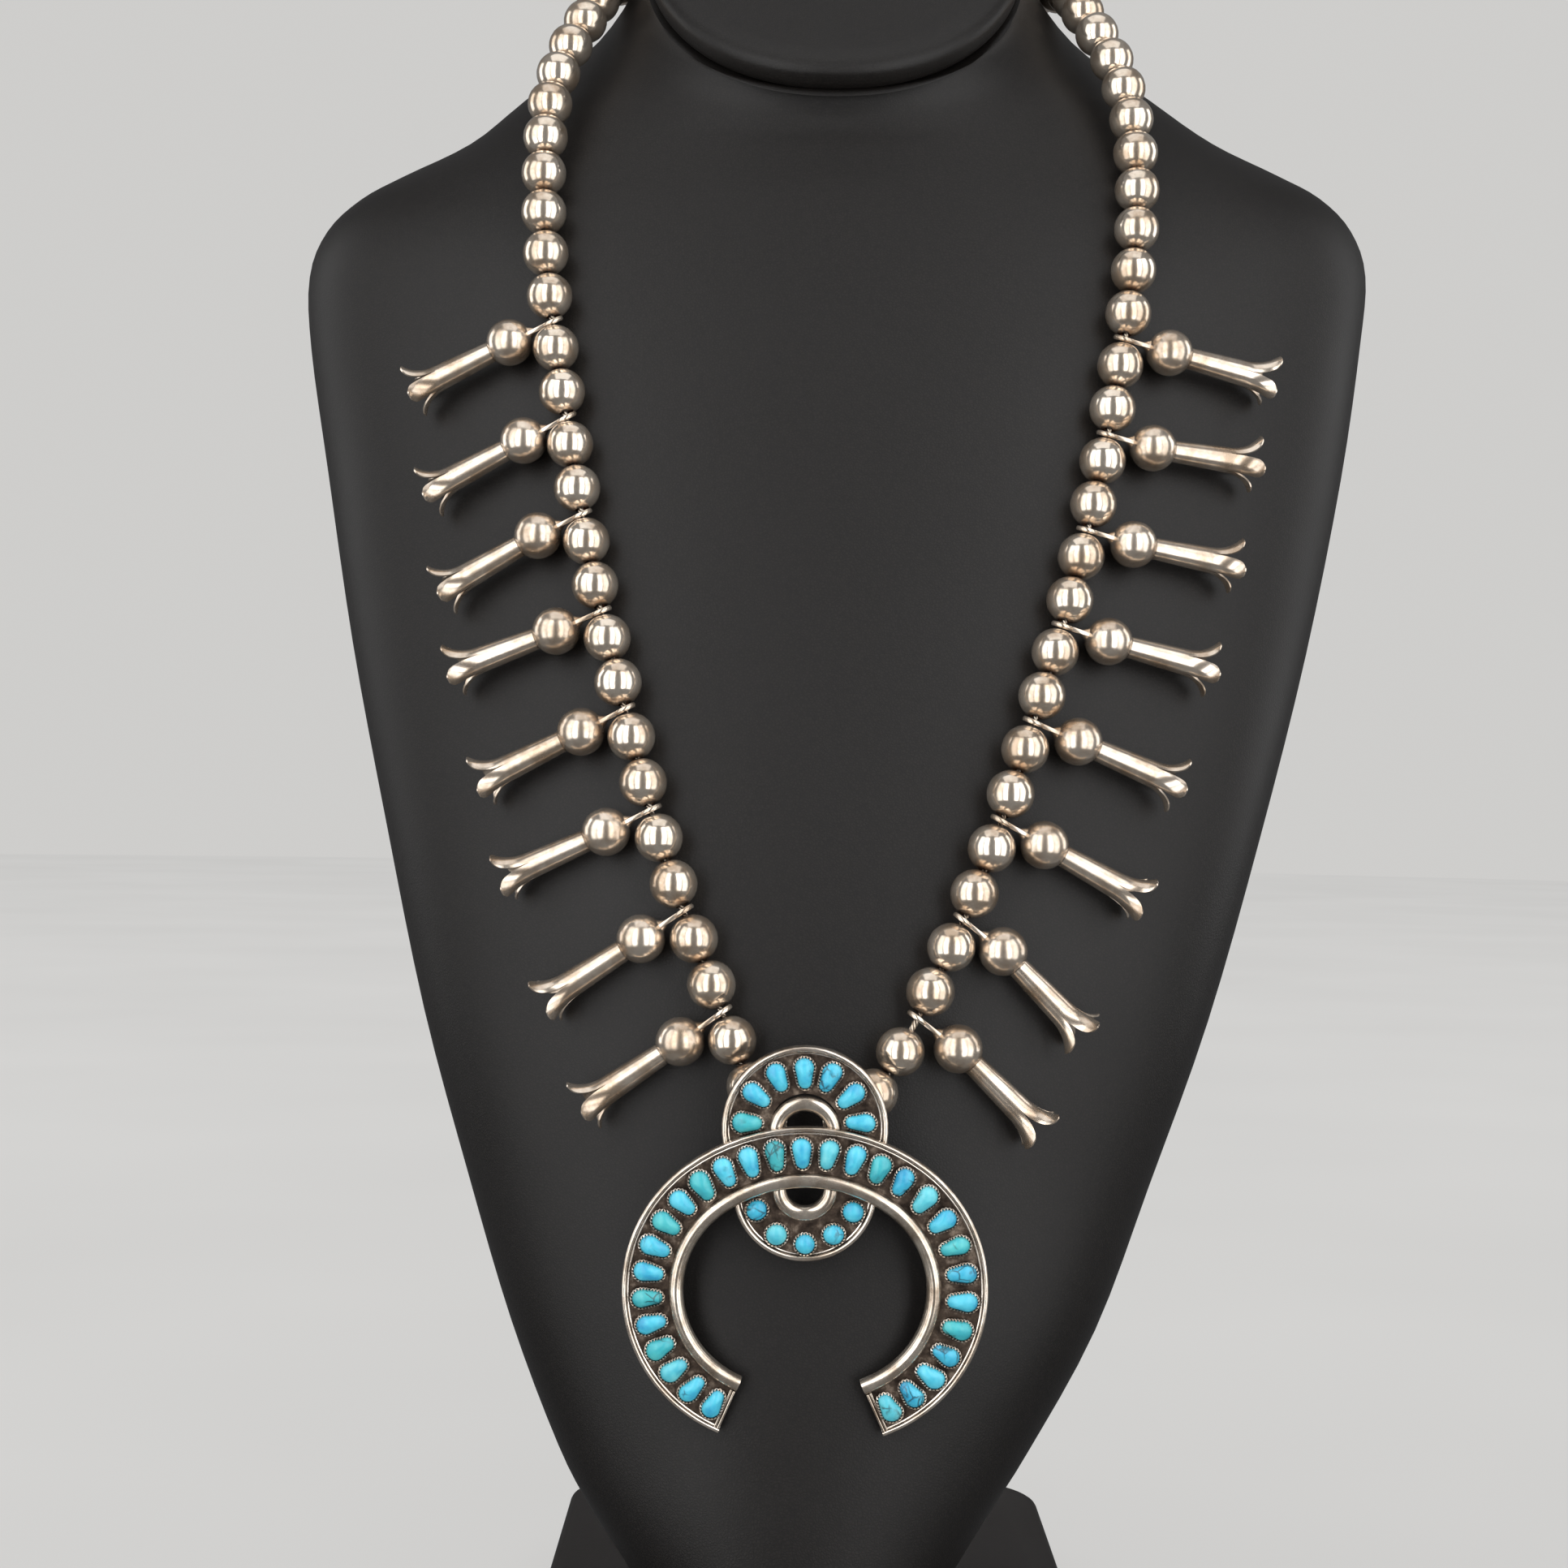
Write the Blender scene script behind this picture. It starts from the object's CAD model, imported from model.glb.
# Squash blossom necklace on a black leatherette neck bust, dressed for rendering.
# The exact part is drawn in millimetres and so are the tables here; mm turns them into metres.
import bpy, bmesh
from math import sin, cos, tan, atan, atan2, asin, radians, pi, hypot, floor, copysign
from random import Random
from mathutils import Matrix, Vector


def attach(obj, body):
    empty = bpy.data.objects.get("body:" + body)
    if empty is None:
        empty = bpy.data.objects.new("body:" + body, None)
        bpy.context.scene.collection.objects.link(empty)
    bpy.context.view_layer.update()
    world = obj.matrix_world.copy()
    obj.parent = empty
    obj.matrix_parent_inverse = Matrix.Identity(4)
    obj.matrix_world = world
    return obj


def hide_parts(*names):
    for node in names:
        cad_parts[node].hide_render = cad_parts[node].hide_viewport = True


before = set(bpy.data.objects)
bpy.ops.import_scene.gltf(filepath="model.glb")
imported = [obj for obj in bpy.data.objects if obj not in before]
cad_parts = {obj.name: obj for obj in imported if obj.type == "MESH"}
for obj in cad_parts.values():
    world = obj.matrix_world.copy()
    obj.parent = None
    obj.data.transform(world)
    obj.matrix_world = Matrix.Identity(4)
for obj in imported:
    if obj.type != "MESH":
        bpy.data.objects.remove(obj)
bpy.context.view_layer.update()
mm = 0.001
print("frame loaded")

# Camera first, at the photograph's place
cameraSet = {"place": (-8.3, -612, 200), "roll": 1.0, "lens": 60.37}
turn = radians(cameraSet["roll"])
eye = bpy.data.objects.new("camera", bpy.data.cameras.new("camera"))
eye.data.lens = cameraSet["lens"]
eye.data.sensor_width = 36
eye.data.clip_start = 0.01
eye.data.clip_end = 20
across, upward, back = Vector((cos(turn), 0, sin(turn))), Vector((-sin(turn), 0, cos(turn))), Vector((0, -1, 0))
eye.matrix_world = Matrix.Translation(Vector(cameraSet["place"]) * mm) @ Matrix((across, upward, back)).transposed().to_4x4()
bpy.context.collection.objects.link(eye)
bpy.context.scene.camera = eye


# Materials
def hexColour(code):
    parts = [int(code[i:i + 2], 16) / 255 for i in (1, 3, 5)]
    return [c / 12.92 if c <= 0.04045 else ((c + 0.055) / 1.055) ** 2.4 for c in parts] + [1]


def addNode(mat, kind, inputs, **settings):
    node = mat.node_tree.nodes.new("ShaderNode" + kind)
    for key, value in settings.items():
        setattr(node, key, value)
    for key, value in inputs.items():
        if isinstance(value, bpy.types.NodeSocket):
            mat.node_tree.links.new(value, node.inputs[key])
        else:
            node.inputs[key].default_value = value
    return node


def newMaterial(name):
    mat = bpy.data.materials.new(name)
    mat.use_nodes = True
    mat.node_tree.nodes.clear()
    place = addNode(mat, "TexCoord", {}).outputs["Object"]
    return mat, place


def ramp(mat, source, stops):
    node = addNode(mat, "ValToRGB", {"Fac": source})
    while len(node.color_ramp.elements) < len(stops):
        node.color_ramp.elements.new(0.5)
    for element, (at, code) in zip(node.color_ramp.elements, stops):
        element.position = at
        element.color = hexColour(code)
    return node.outputs["Color"]


def finishMaterial(mat, **inputs):
    shader = addNode(mat, "BsdfPrincipled", {k: v for k, v in inputs.items()})
    addNode(mat, "OutputMaterial", {"Surface": shader.outputs["BSDF"]})
    return mat


# Sterling silver, worn smooth by wear: bright and slightly warm, brown sulphide left in the hollows
def wornSilver(name, bright, dull, hollow, rough, depth):
    mat, place = newMaterial(name)
    cloud = addNode(mat, "TexNoise", {"Vector": place, "Scale": 1 / (6 * mm), "Detail": 4, "Roughness": 0.6})
    fine = addNode(mat, "TexNoise", {"Vector": place, "Scale": 1 / (0.6 * mm), "Detail": 3})
    nook = addNode(mat, "AmbientOcclusion", {"Distance": depth * mm}, samples=6, only_local=False)
    tone = ramp(mat, cloud.outputs["Fac"], [(0.35, dull), (0.62, bright)])
    shade = ramp(mat, nook.outputs["AO"], [(0.15, "#000000"), (0.68, "#ffffff")])
    colour = addNode(mat, "Mix", {"Factor": shade, "A": hexColour(hollow), "B": tone}, data_type="RGBA")
    roughness = addNode(mat, "MapRange", {"Value": cloud.outputs["Fac"], "From Min": 0.3, "From Max": 0.7,
                                          "To Min": rough + 0.1, "To Max": rough})
    bump = addNode(mat, "Bump", {"Height": fine.outputs["Fac"], "Strength": 0.12, "Distance": 0.05 * mm})
    return finishMaterial(mat, **{"Base Color": colour.outputs[2], "Metallic": 0.9,
                                  "Roughness": roughness.outputs["Result"], "Normal": bump.outputs["Normal"]})


beadSilver = wornSilver("handmade bead silver", "#eaddcd", "#c2ac95", "#5a3d29", 0.13, 2)
blossomSilver = wornSilver("worn blossom silver", "#e4d6c6", "#b9a48e", "#4a3424", 0.18, 1.6)
rodSilver = wornSilver("half round silver rod", "#e0d4c5", "#a39280", "#3a2c22", 0.17, 2)
rimSilver = wornSilver("polished rim wire", "#e8dccf", "#b8a897", "#3a2c22", 0.14, 1.2)
bezelSilver = wornSilver("serrated bezel silver", "#f8f1e8", "#e2d6c8", "#1d140f", 0.2, 0.35)


# Silver blackened with sulphide: matt brown black, rubbed paler in patches
def blackenedSilver():
    mat, place = newMaterial("blackened silver")
    cloud = addNode(mat, "TexNoise", {"Vector": place, "Scale": 1 / (2.5 * mm), "Detail": 5, "Roughness": 0.65})
    tone = ramp(mat, cloud.outputs["Fac"], [(0.35, "#2a211b"), (0.54, "#54473d"), (0.74, "#a19181")])
    bump = addNode(mat, "Bump", {"Height": cloud.outputs["Fac"], "Strength": 0.35, "Distance": 0.15 * mm})
    return finishMaterial(mat, **{"Base Color": tone, "Metallic": 0.75, "Roughness": 0.48,
                                  "Normal": bump.outputs["Normal"]})


blackSilver = blackenedSilver()


# Cut and polished turquoise: smooth sky blue with cloudy patches and dark host rock veins
def turquoiseStone(name, pale, main, deep, vein, veined):
    mat, place = newMaterial(name)
    cloud = addNode(mat, "TexNoise", {"Vector": place, "Scale": 1 / (3.2 * mm), "Detail": 3, "Roughness": 0.5})
    tone = ramp(mat, cloud.outputs["Fac"], [(0.3, deep), (0.5, main), (0.72, pale)])
    bend = addNode(mat, "TexNoise", {"Vector": place, "Scale": 1 / (1.6 * mm), "Detail": 4})
    bent = addNode(mat, "Mix", {"Factor": 0.0012, "A": place, "B": bend.outputs["Color"]}, data_type="VECTOR")
    net = addNode(mat, "TexVoronoi", {"Vector": bent.outputs[1], "Scale": 1 / (2.6 * mm)}, feature="DISTANCE_TO_EDGE")
    where = addNode(mat, "TexNoise", {"Vector": place, "Scale": 1 / (4.5 * mm), "Detail": 2})
    line = addNode(mat, "MapRange", {"Value": net.outputs["Distance"], "From Min": 0.0, "From Max": 0.09,
                                     "To Min": 1.0, "To Max": 0.0})
    some = addNode(mat, "MapRange", {"Value": where.outputs["Fac"], "From Min": 0.62 - veined, "From Max": 0.72 - veined,
                                     "To Min": 0.0, "To Max": 0.85})
    both = addNode(mat, "Math", {0: line.outputs["Result"], 1: some.outputs["Result"]}, operation="MULTIPLY")
    colour = addNode(mat, "Mix", {"Factor": both.outputs[0], "A": tone, "B": hexColour(vein)}, data_type="RGBA")
    bump = addNode(mat, "Bump", {"Height": both.outputs[0], "Strength": 0.25, "Distance": 0.08 * mm}, invert=True)
    return finishMaterial(mat, **{"Base Color": colour.outputs[2], "Roughness": 0.34, "IOR": 1.58,
                                  "Subsurface Weight": 0.12, "Subsurface Radius": (0.0004, 0.0008, 0.001),
                                  "Subsurface Scale": 1.0, "Normal": bump.outputs["Normal"]})


skyStone = turquoiseStone("sky blue turquoise", "#62cce3", "#47bcd6", "#2f9fc8", "#1d3f52", 0.0)
paleStone = turquoiseStone("pale blue turquoise", "#79d1d9", "#57c0cf", "#3daac2", "#2f5052", 0.02)
greenStone = turquoiseStone("green blue turquoise", "#54c0c2", "#3cb0ba", "#2c9aa9", "#22403a", 0.06)
veinedStone = turquoiseStone("dark veined turquoise", "#58c4dd", "#3bb0d0", "#2895be", "#1b1713", 0.19)
mossStone = turquoiseStone("moss veined turquoise", "#50babd", "#39a8b1", "#2a8f9d", "#10211d", 0.22)


# Polyurethane leatherette over foam: black, finely embossed grain with a soft sheen
def blackLeatherette():
    mat, place = newMaterial("black leatherette")
    cells = addNode(mat, "TexVoronoi", {"Vector": place, "Scale": 1 / (0.65 * mm), "Randomness": 1.0},
                    feature="DISTANCE_TO_EDGE")
    fold = addNode(mat, "TexNoise", {"Vector": place, "Scale": 1 / (1.5 * mm), "Detail": 5, "Roughness": 0.6})
    wide = addNode(mat, "TexNoise", {"Vector": place, "Scale": 1 / (60 * mm), "Detail": 2})
    grain = addNode(mat, "MapRange", {"Value": cells.outputs["Distance"], "From Min": 0.0, "From Max": 0.28})
    height = addNode(mat, "Mix", {"Factor": 0.45, "A": grain.outputs["Result"], "B": fold.outputs["Fac"]})
    tone = ramp(mat, height.outputs[0], [(0.2, "#090706"), (0.8, "#151210")])
    roughness = addNode(mat, "MapRange", {"Value": wide.outputs["Fac"], "From Min": 0.3, "From Max": 0.7,
                                          "To Min": 0.44, "To Max": 0.52})
    bump = addNode(mat, "Bump", {"Height": height.outputs[0], "Strength": 0.3, "Distance": 0.08 * mm})
    return finishMaterial(mat, **{"Base Color": tone, "Roughness": roughness.outputs["Result"], "IOR": 1.48,
                                  "Specular IOR Level": 0.34, "Normal": bump.outputs["Normal"]})


leatherette = blackLeatherette()
print("materials made")


# A smooth curve through the rows of a table, with so many cuts between two rows
def smoothRows(rows, cuts):
    def at(i):
        return rows[max(0, min(len(rows) - 1, i))]

    made = []
    for k in range((len(rows) - 1) * cuts + 1):
        t = k / cuts
        i = min(floor(t), len(rows) - 2)
        f = t - i
        made.append([0.5 * (2 * b + (c - a) * f + (2 * a - 5 * b + 4 * c - d) * f * f + (3 * b - a - 3 * c + d) * f ** 3)
                     for a, b, c, d in zip(at(i - 1), at(i), at(i + 1), at(i + 2))])
    return made


# A value read off a table, straight between its entries
def between(value, keys, outs):
    if value <= keys[0]:
        return outs[0]
    for i in range(1, len(keys)):
        if value <= keys[i]:
            share = (value - keys[i - 1]) / (keys[i] - keys[i - 1])
            return outs[i - 1] + (outs[i] - outs[i - 1]) * share
    return outs[-1]


# Turns a part's z axis along a direction
def aimed(place, direction, spin=0):
    d = direction.normalized()
    tilt = Matrix.Rotation(atan2(d.y, d.x), 4, "Z") @ Matrix.Rotation(atan2(hypot(d.x, d.y), d.z), 4, "Y")
    return Matrix.Translation(place) @ tilt @ Matrix.Rotation(spin, 4, "Z")


# Turns a part's three axes to the given ones
def framed(place, x, y, z):
    turned = Matrix((x, y, z)).transposed().to_4x4()
    return Matrix.Translation(place) @ turned


def addTo(bm, part, matrix):
    part.transform(matrix)
    mesh = bpy.data.meshes.new("part")
    part.to_mesh(mesh)
    bm.from_mesh(mesh)
    bpy.data.meshes.remove(mesh)
    part.free()


# From millimetres to metres, with its materials, its body and the solids it stands for
def finishPiece(name, bm, materials, nodes, smooth=40):
    bm.transform(Matrix.Scale(mm, 4))
    mesh = bpy.data.meshes.new(name)
    bm.to_mesh(mesh)
    bm.free()
    for mat in materials:
        mesh.materials.append(mat)
    piece = bpy.data.objects.new(name, mesh)
    bpy.context.collection.objects.link(piece)
    mesh.shade_smooth()
    mesh.set_sharp_from_angle(angle=radians(smooth))
    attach(piece, "root")
    if nodes:
        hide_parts(*nodes)
    return piece


def outwards(bm):
    bmesh.ops.remove_doubles(bm, verts=bm.verts[:], dist=1e-4)
    bmesh.ops.recalc_face_normals(bm, faces=bm.faces[:])


# Bust
bust = {
    "rows": [  # height, depth, pitch, sideways place, roll, half width, reach forward, reach back
        [16, -57, 0, -4, 0, 24, 27, 64],
        [34, -56, 0, -4, 0, 33.5, 28.5, 65],
        [47, -54.5, 0, -4.5, 0, 42, 30, 65],
        [60, -52.5, 0, -4, 0, 50, 31.5, 65.5],
        [85, -48, 0, -2.2, 0, 62.5, 34.5, 64],
        [115, -42.5, 0, -1.5, 0, 73.5, 37, 62],
        [150, -36.5, 0, -0.5, 0, 85.5, 39.5, 59],
        [190, -28.5, 0, 0.5, 0, 96.6, 42, 55.5],
        [230, -18.8, 0, 1.3, 0.2, 107, 43.5, 50],
        [270, -9, 0, 2, 0.6, 115.6, 44, 44.5],
        [300, -3.5, 0, 1.8, 1, 120.8, 43, 42],
        [317, -1, 2, 2, 1, 122.2, 41.5, 41],
        [328, 0.5, 4, 2.2, 1, 118.8, 40, 40.5],
        [336, 1.5, 7, 2.5, 1, 111.5, 39, 40.5],
        [342, 2.5, 10, 2.5, 1, 101.5, 38.5, 40.8],
        [350, 3.5, 15, 2.5, 1, 86.5, 38.5, 41.5],
        [360, 4.5, 22, 1.5, 1, 73.5, 39.5, 43],
        [372, 5.2, 30, 0.8, 1, 56.8, 43, 46.5],
        [385, 5.6, 38.5, 0.3, 1, 46.8, 51, 53],
        [395, 6, 46.5, 0, 1, 44.5, 61, 61.5],
    ],
    "power": 2.2, "sides": 112, "cuts": 4, "capThickness": 7, "capLift": 0.4,
    "baseWidth": 120, "baseDepth": 176, "baseThickness": 16, "baseCorner": 22,
}
solidRings = smoothRows(bust["rows"], 2)
lowRings = [r for r in solidRings if r[0] < 320]


def sectionPoint(row, a):
    power = 2 / bust["power"]
    u = row[5] * copysign(abs(cos(a)) ** power, cos(a))
    v = (row[7] if sin(a) > 0 else row[6]) * copysign(abs(sin(a)) ** power, sin(a))
    pitch, roll = radians(row[2]), tan(radians(row[4]))
    return Vector((row[3] + u - v * sin(pitch) * roll, row[1] + v * cos(pitch), row[0] + v * sin(pitch) + u * roll))


def ringColumn(z, c):
    return between(z, [r[0] for r in lowRings], [r[c] for r in lowRings])


# Depth of the chest's surface, on which the blossoms and the naja lie
def chestY(x, z):
    dx = x - ringColumn(z, 3)
    zr = z - dx * tan(radians(ringColumn(z, 4)))
    part = min(1, abs(dx) / ringColumn(zr, 5)) ** bust["power"]
    return ringColumn(zr, 1) - ringColumn(zr, 6) * (1 - part) ** (1 / bust["power"])


# Wraps a grid round a stack of sections and closes both ends
def wrapped(rings, sides):
    bm = bmesh.new()
    bmesh.ops.create_grid(bm, x_segments=sides, y_segments=len(rings) - 1, size=1)
    for v in bm.verts:
        k = round((v.co.x + 1) / 2 * sides) % sides
        i = round((v.co.y + 1) / 2 * (len(rings) - 1))
        v.co = sectionPoint(rings[i], 2 * pi * k / sides)
    bmesh.ops.remove_doubles(bm, verts=bm.verts[:], dist=1e-4)
    rim = [e for e in bm.edges if e.is_boundary]
    bmesh.ops.holes_fill(bm, edges=rim, sides=0)
    outwards(bm)
    return bm


bustForm = wrapped(smoothRows(bust["rows"], bust["cuts"]), bust["sides"])
for v in bustForm.verts:
    v.co.z += 0.12
finishPiece("bust_covering", bustForm, [leatherette], ["bust_body"], 50)

neck = bust["rows"][-1]
neckNormal = Vector((0, -sin(radians(neck[2])), cos(radians(neck[2]))))


def capRing(share, inset):
    h = bust["capLift"] + share * bust["capThickness"]
    grown = -inset - 0.5
    return [neck[0] + h * neckNormal.z, neck[1] + h * neckNormal.y, neck[2], neck[3], neck[4],
            neck[5] + grown, neck[6] + grown, neck[7] + grown]


capEdge = [(0, 2.2), (0.05, 1.4), (0.12, 0.7), (0.22, 0.2), (0.35, 0), (0.65, 0), (0.78, 0.25), (0.88, 0.9),
           (0.95, 1.8), (1, 3), (1.0, 8)]
capForm = wrapped([capRing(*row) for row in capEdge], bust["sides"])
finishPiece("neck_cap_covering", capForm, [leatherette], ["neck_cap"], 60)


# A rounded oblong slab, its edges softened by the covering
def baseSlab():
    bm = bmesh.new()
    bmesh.ops.create_cube(bm, size=1)
    bmesh.ops.scale(bm, vec=(bust["baseWidth"], bust["baseDepth"], bust["baseThickness"]), verts=bm.verts[:])
    bmesh.ops.translate(bm, vec=(0, 0, bust["baseThickness"] / 2), verts=bm.verts[:])
    upright = [e for e in bm.edges if abs(e.verts[0].co.z - e.verts[1].co.z) > 1]
    bmesh.ops.bevel(bm, geom=upright, offset=bust["baseCorner"], offset_type="OFFSET", segments=12, profile=0.5,
                    material=-1, affect="EDGES")
    level = [e for e in bm.edges if len(e.link_faces) == 2 and e.calc_face_angle(0) > 1.2]
    bmesh.ops.bevel(bm, geom=level, offset=1.6, offset_type="OFFSET", segments=4, profile=0.5, material=-1,
                    affect="EDGES")
    return bm


finishPiece("base_plate_covering", baseSlab(), [leatherette], ["base_plate"], 60)
print("bust covered")


# The string's route, as in the part
route = {
    "rows": [  # x on the left, x on the right, depth, height
        [-2.7, -2.7, -82.2, 130.4],
        [-8.9, 3.5, -82.3, 130.8],
        [-14.3, 12.3, -82.4, 139.5],
        [-22.6, 22.8, -79.4, 160],
        [-30.8, 31.6, -76.2, 180],
        [-37.3, 38.6, -72.4, 200],
        [-42.9, 45, -67.6, 220],
        [-48.4, 51, -61.8, 240],
        [-52.8, 56, -56.6, 260],
        [-56.6, 60.1, -51.8, 280],
        [-60, 63.6, -47.4, 300],
        [-62.4, 66, -42.5, 320],
        [-63.3, 66.6, -34.2, 340],
        [-62.4, 65.4, -25, 355],
        [-58.9, 61.9, -15.6, 368],
        [-54.3, 57, -4.8, 379.8],
        [-53.2, 56, 6.5, 386.8],
        [-53, 55.2, 18, 391],
        [-49.8, 51.6, 29.6, 393.9],
        [-41.8, 43.2, 39.6, 396.4],
        [-30.2, 31, 46.5, 398.6],
        [-16, 16, 50.6, 400],
        [0, 0, 51.6, 400.4],
    ],
    "cuts": 8, "free": {-1: 11.1, 1: 11.8}, "pitch": 10, "gap": 2, "slack": 1.6, "below": 2, "blossoms": 8, "beads": 34,
}
sidePoints, sideLengths = {}, {}
for side in (-1, 1):
    sidePoints[side] = [Vector((r[0] if side < 0 else r[1], r[2], r[3])) for r in smoothRows(route["rows"], route["cuts"])]
    sideLengths[side] = [0]
    for a, b in zip(sidePoints[side], sidePoints[side][1:]):
        sideLengths[side].append(sideLengths[side][-1] + (b - a).length)


def stringAt(side, s):
    return Vector([between(s, sideLengths[side], [p[c] for p in sidePoints[side]]) for c in range(3)])


def hasShank(j):
    return j >= route["below"] and j <= 2 * route["blossoms"] and j % 2 == 0


# Way along the string to the joint after j beads, the gaps for the shanks counted in
def jointLength(side, j):
    before = max(0, min(route["blossoms"], floor((j - 1) / 2)))
    slack = route["slack"] if side > 0 and j >= route["below"] else 0
    return route["free"][side] + route["pitch"] * j + slack + route["gap"] * (before + (0.5 if hasShank(j) else 0))


joints = {side: [stringAt(side, jointLength(side, j)) for j in range(route["beads"] + 1)] for side in (-1, 1)}

# Beads
bead = {"radius": 4.98, "halfLength": 4.86, "hole": 1.05, "columns": 30, "rows": 22}


# A hollow bead of two raised halves, flattened and drilled at its ends
def beadForm(rng):
    bm = bmesh.new()
    bmesh.ops.create_uvsphere(bm, u_segments=bead["columns"], v_segments=bead["rows"], radius=bead["radius"])
    for end in (1, -1):
        bmesh.ops.bisect_plane(bm, geom=bm.verts[:] + bm.edges[:] + bm.faces[:], dist=1e-5,
                               plane_co=(0, 0, end * (bead["halfLength"] - 0.08)), plane_no=(0, 0, end), clear_outer=True)
        rim = [e for e in bm.edges if e.is_boundary and e.verts[0].co.z * end > 3]
        for radius, depth in ((1.2, 0.0), (bead["hole"], 0.25)):
            made = bmesh.ops.extrude_edge_only(bm, edges=rim)["geom"]
            for v in [g for g in made if isinstance(g, bmesh.types.BMVert)]:
                size = hypot(v.co.x, v.co.y)
                v.co = (v.co.x / size * radius, v.co.y / size * radius, end * (bead["halfLength"] - depth))
            rim = [g for g in made if isinstance(g, bmesh.types.BMEdge) and g.is_boundary]
    bmesh.ops.bridge_loops(bm, edges=[e for e in bm.edges if e.is_boundary])
    for v in bm.verts:  # the soldered seam between the halves
        if abs(v.co.z) < 0.05:
            v.co.xy *= 0.994
    squash = rng.uniform(0.985, 1.0)
    bmesh.ops.scale(bm, vec=(squash, rng.uniform(0.985, 1.0), 1), verts=bm.verts[:])
    bmesh.ops.recalc_face_normals(bm, faces=bm.faces[:])
    return bm


def beadSide(side, name, node):
    rng = Random(5 + side)
    bm = bmesh.new()
    row = joints[side]
    for j in range(route["beads"]):
        direction = (row[j + 1] - row[j]).normalized()
        lead = route["pitch"] / 2 + (route["gap"] / 2 if hasShank(j) else 0)
        addTo(bm, beadForm(rng), aimed(row[j] + direction * lead, direction, rng.uniform(0, 6)))
    foot = stringAt(side, jointLength(side, 0) - 5.2)
    spacer = beadForm(rng)
    bmesh.ops.scale(spacer, vec=(0.51, 0.51, 0.46), verts=spacer.verts[:])
    addTo(bm, spacer, aimed((foot + row[0]) / 2, row[0] - foot))
    finishPiece(name, bm, [beadSilver], [node], 50)


beadSide(-1, "bead_string_left", "beads_left")
beadSide(1, "bead_string_right", "beads_right")
print("beads strung")


# Foxtail chain
chain = {"strands": 4, "braidRadius": 0.42, "wireRadius": 0.33, "pitch": 4.4, "step": 0.9, "sides": 6}


# Four wires laid round each other along the chain's path
def chainForm():
    feet = [0, 5, 9.5]
    halves = {side: [stringAt(side, s) for s in feet] + joints[side] for side in (-1, 1)}
    path = halves[-1][::-1] + halves[1][1:]
    run = [0]
    for a, b in zip(path, path[1:]):
        run.append(run[-1] + (b - a).length)
    count = int(run[-1] / chain["step"])
    spots = [Vector([between(run[-1] * k / count, run, [p[c] for p in path]) for c in range(3)]) for k in range(count + 1)]
    bm = bmesh.new()
    for strand in range(chain["strands"]):
        start = bmesh.ops.create_circle(bm, segments=chain["sides"], radius=chain["wireRadius"], cap_ends=False)["verts"]
        shape = [v.co.copy() for v in start]
        loop = list({e for v in start for e in v.link_edges})
        ring = start
        for k in range(count + 1):
            ahead = (spots[min(k + 1, count)] - spots[max(k - 1, 0)]).normalized()
            side = ahead.cross(Vector((0, 1, 0.2))).normalized()
            over = side.cross(ahead)
            angle = 2 * pi * (k * chain["step"] / chain["pitch"] + strand / chain["strands"])
            middle = spots[k] + chain["braidRadius"] * (cos(angle) * side + sin(angle) * over)
            if k:
                made = bmesh.ops.extrude_edge_only(bm, edges=loop)["geom"]
                fresh = [g for g in made if isinstance(g, bmesh.types.BMVert)]
                loop = [g for g in made if isinstance(g, bmesh.types.BMEdge) and all(v in fresh for v in g.verts)]
                ring = fresh
            for v, s in zip(ring, shape):
                v.co = middle + s.x * side + s.y * over
    bmesh.ops.holes_fill(bm, edges=[e for e in bm.edges if e.is_boundary], sides=0)
    bmesh.ops.recalc_face_normals(bm, faces=bm.faces[:])
    return bm


finishPiece("braided_foxtail", chainForm(), [rodSilver], ["foxtail_chain"], 60)
print("foxtail laid")

# Squash blossoms
blossom = {
    "ball": 4.97, "reach": 10.3, "stem": 1.85, "mouth": 2.32, "part": 16.8, "petal": 7.2, "flare": 3.7, "wall": 0.42,
    "curl": 62, "petalLength": 8.5, "shank": 2.5, "shankHole": 1.02, "shankThick": 0.95,
    # fall of the shank and of the stem below level, turn of the petals; from the lowest up
    "left": [(36, 35, 70), (34, 34, 50), (27, 25, 55), (28, 27, 60), (24, 21, 65), (26, 30, 70), (28, 28, 70), (25, 26, 68)],
    "right": [(36, 44, 45), (37, 45, 60), (28, 28, 45), (22, 22, 15), (17, 13, 20), (15, 9, 20), (14, 6, 20), (14, 12, 40)],
}


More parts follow.
